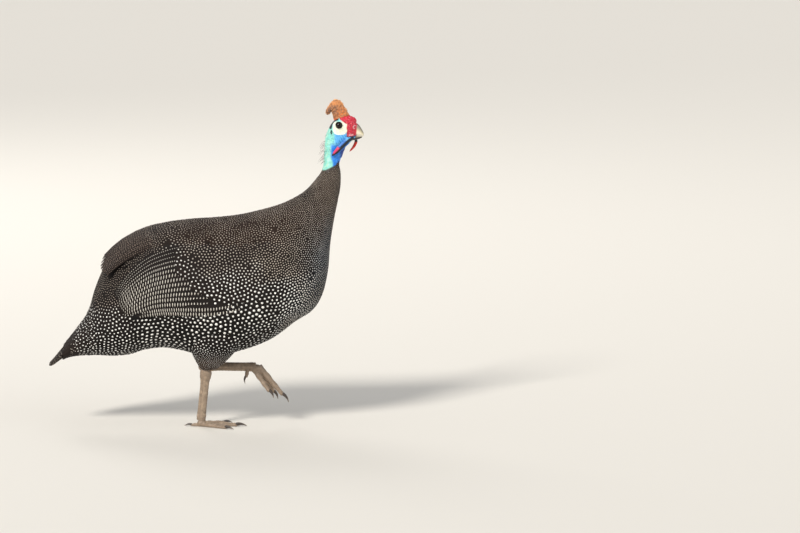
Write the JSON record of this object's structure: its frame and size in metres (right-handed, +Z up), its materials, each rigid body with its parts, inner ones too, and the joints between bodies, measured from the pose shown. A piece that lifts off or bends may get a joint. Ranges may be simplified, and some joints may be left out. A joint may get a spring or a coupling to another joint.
{
  "type": "guineafowl model",
  "caption": "Life-size still model of a walking helmeted guineafowl, standing on one foot with the other lifted.",
  "frame": {"origin": "in the sole of the planted right foot, under the shank, at floor level", "axes": "+X towards the bill, +Y towards the bird's left, +Z up"},
  "size_m": [0.4273, 0.1662, 0.4453],
  "materials": {
    "plumage": "soft matt feathers, dark slate grey with white spots",
    "bare_skin": "matt bare skin, pale with red and blue areas",
    "neck_skin": "matt bare skin, bright blue",
    "wattle_skin": "satin bare skin, blue with red",
    "casque_horn": "rough horn, orange-brown",
    "bill_horn": "satin horn, grey-brown",
    "eye": "glossy, dark brown",
    "leg_skin": "matt scaly skin, grey-brown",
    "claw_horn": "satin horn, dark grey"
  },
  "bodies": {
    "root": {"torso": "plumage", "tail": "plumage", "wing_right": "plumage", "wing_left": "plumage", "neck": "neck_skin", "head": "bare_skin", "casque": "casque_horn", "bill_upper": "bill_horn", "bill_lower": "bill_horn", "eye_right": "eye", "eye_left": "eye", "wattle_right": "wattle_skin", "wattle_left": "wattle_skin", "thigh_right": "plumage", "thigh_left": "plumage", "tarsus_right": "leg_skin", "toe_right_inner": "leg_skin", "toe_right_middle": "leg_skin", "toe_right_outer": "leg_skin", "toe_right_hind": "leg_skin", "claw_right_inner": "claw_horn", "claw_right_middle": "claw_horn", "claw_right_outer": "claw_horn", "claw_right_hind": "claw_horn", "tarsus_left": "leg_skin", "toe_left_inner": "leg_skin", "toe_left_middle": "leg_skin", "toe_left_outer": "leg_skin", "toe_left_hind": "leg_skin", "claw_left_inner": "claw_horn", "claw_left_middle": "claw_horn", "claw_left_outer": "claw_horn", "claw_left_hind": "claw_horn"}
  },
  "joints": []
}
